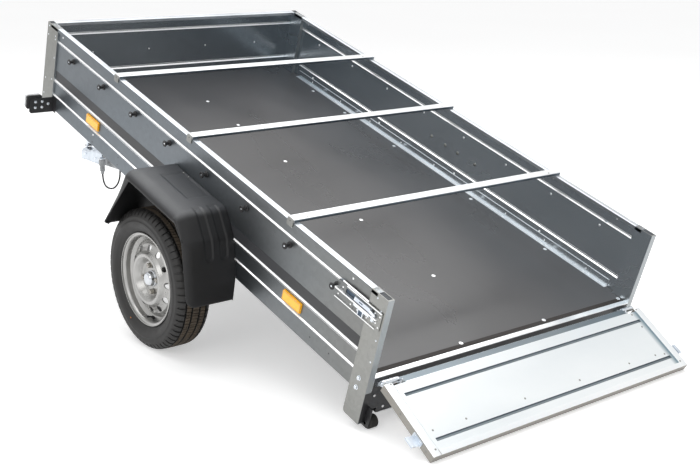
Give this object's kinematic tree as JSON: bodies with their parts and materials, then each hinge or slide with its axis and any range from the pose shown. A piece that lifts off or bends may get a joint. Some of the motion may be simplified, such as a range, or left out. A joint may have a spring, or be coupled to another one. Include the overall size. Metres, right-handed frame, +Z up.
{
  "type": "utility trailer",
  "caption": "Single-axle tipping utility trailer with a galvanised open box on a plain drawbar, shown tipped back with its tailgate down as a ramp.",
  "frame": {"origin": "on the ground under the middle of the whole trailer as it stands tipped", "axes": "+X to the right, +Y towards the coupling, +Z up"},
  "size_m": [1.7, 3.3986, 1.1408],
  "materials": {
    "galvanised_sheet": "galvanised, smooth",
    "galvanised_steel": "hot-dip galvanised",
    "zinc_plated": "bright zinc",
    "wheel_silver": "silver lacquer",
    "hub_steel": "bare steel",
    "tyre_rubber": "matt",
    "solid_rubber": "matt",
    "guard_plastic": "fine grain",
    "black_plastic": "moulded",
    "black_paint": "powder coat",
    "floor_film": "dark film-faced plywood",
    "amber_lens": "moulded prism",
    "clear_lens": "clear moulded",
    "red_lens": "red moulded",
    "lead_rubber": "matt"
  },
  "bodies": {
    "drawbar": {"drawbar": "galvanised_steel", "tip_pivot": "galvanised_steel", "rest_pad": "solid_rubber", "coupling_head": "zinc_plated", "coupling_handle": "zinc_plated", "jockey_clamp": "zinc_plated", "plug_holder": "zinc_plated", "plug": "black_plastic", "lead": "lead_rubber"},
    "jockey_leg": {"jockey_tube": "zinc_plated", "jockey_crank": "zinc_plated"},
    "jockey_fork": {"jockey_fork": "zinc_plated"},
    "jockey_wheel": {"jockey_wheel": "solid_rubber"},
    "tailgate": {"tailgate_panel": "galvanised_sheet", "tailgate_hinges": "zinc_plated", "tailgate_catches": "zinc_plated"},
    "wheel_left": {"tyre_left": "tyre_rubber", "wheel_rim_left": "wheel_silver", "hub_left": "hub_steel"},
    "wheel_right": {"tyre_right": "tyre_rubber", "wheel_rim_right": "wheel_silver", "hub_right": "hub_steel"},
    "bed": {"axle_beam": "galvanised_steel", "axle_hangers": "galvanised_steel", "cross_bows": "zinc_plated", "cross_members": "galvanised_steel", "edge_angles": "zinc_plated", "floor_board": "floor_film", "front_markers": "clear_lens", "front_post_left": "galvanised_steel", "front_post_right": "galvanised_steel", "front_wall": "galvanised_sheet", "ground_rollers": "solid_rubber", "lamp_board": "black_paint", "lamp_brackets": "black_paint", "lock_tongue": "galvanised_steel", "long_rails": "galvanised_steel", "mudguard_left": "guard_plastic", "mudguard_right": "guard_plastic", "post_caps": "black_plastic", "rear_lamps": "red_lens", "rear_post_left": "galvanised_steel", "rear_post_right": "galvanised_steel", "rear_sill": "galvanised_steel", "side_latches": "zinc_plated", "side_reflectors": "amber_lens", "side_wall_left": "galvanised_sheet", "side_wall_right": "galvanised_sheet", "tarp_spools": "black_plastic"}
  },
  "joints": [
    {"name": "bed_tip", "type": "hinge", "parent": "drawbar", "child": "bed", "pos_m": [0, -0.29766, 0.2666], "axis": [1, 0, 0], "range_deg": [-17.11, 0]},
    {"name": "wheel_left_spin", "type": "hinge", "parent": "bed", "child": "wheel_left", "pos_m": [-0.7305, -0.29766, 0.2666], "axis": [1, 0, 0], "continuous": true},
    {"name": "wheel_right_spin", "type": "hinge", "parent": "bed", "child": "wheel_right", "pos_m": [0.7305, -0.29766, 0.2666], "axis": [1, 0, 0], "continuous": true},
    {"name": "tailgate_hinge", "type": "hinge", "parent": "bed", "child": "tailgate", "pos_m": [0, -1.44358, 0.17385], "axis": [1, 0, 0], "range_deg": [-107.21, 0]},
    {"name": "jockey_slide", "type": "slide", "parent": "drawbar", "child": "jockey_leg", "axis": [0, 0, 1], "range_m": [0, 0.1071]},
    {"name": "jockey_swivel", "type": "hinge", "parent": "jockey_leg", "child": "jockey_fork", "pos_m": [0.068, 1.10234, 0.216], "axis": [0, 0, 1], "continuous": true},
    {"name": "jockey_spin", "type": "hinge", "parent": "jockey_fork", "child": "jockey_wheel", "pos_m": [0.068, 1.07035, 0.1], "axis": [1, 0, 0], "continuous": true}
  ]
}
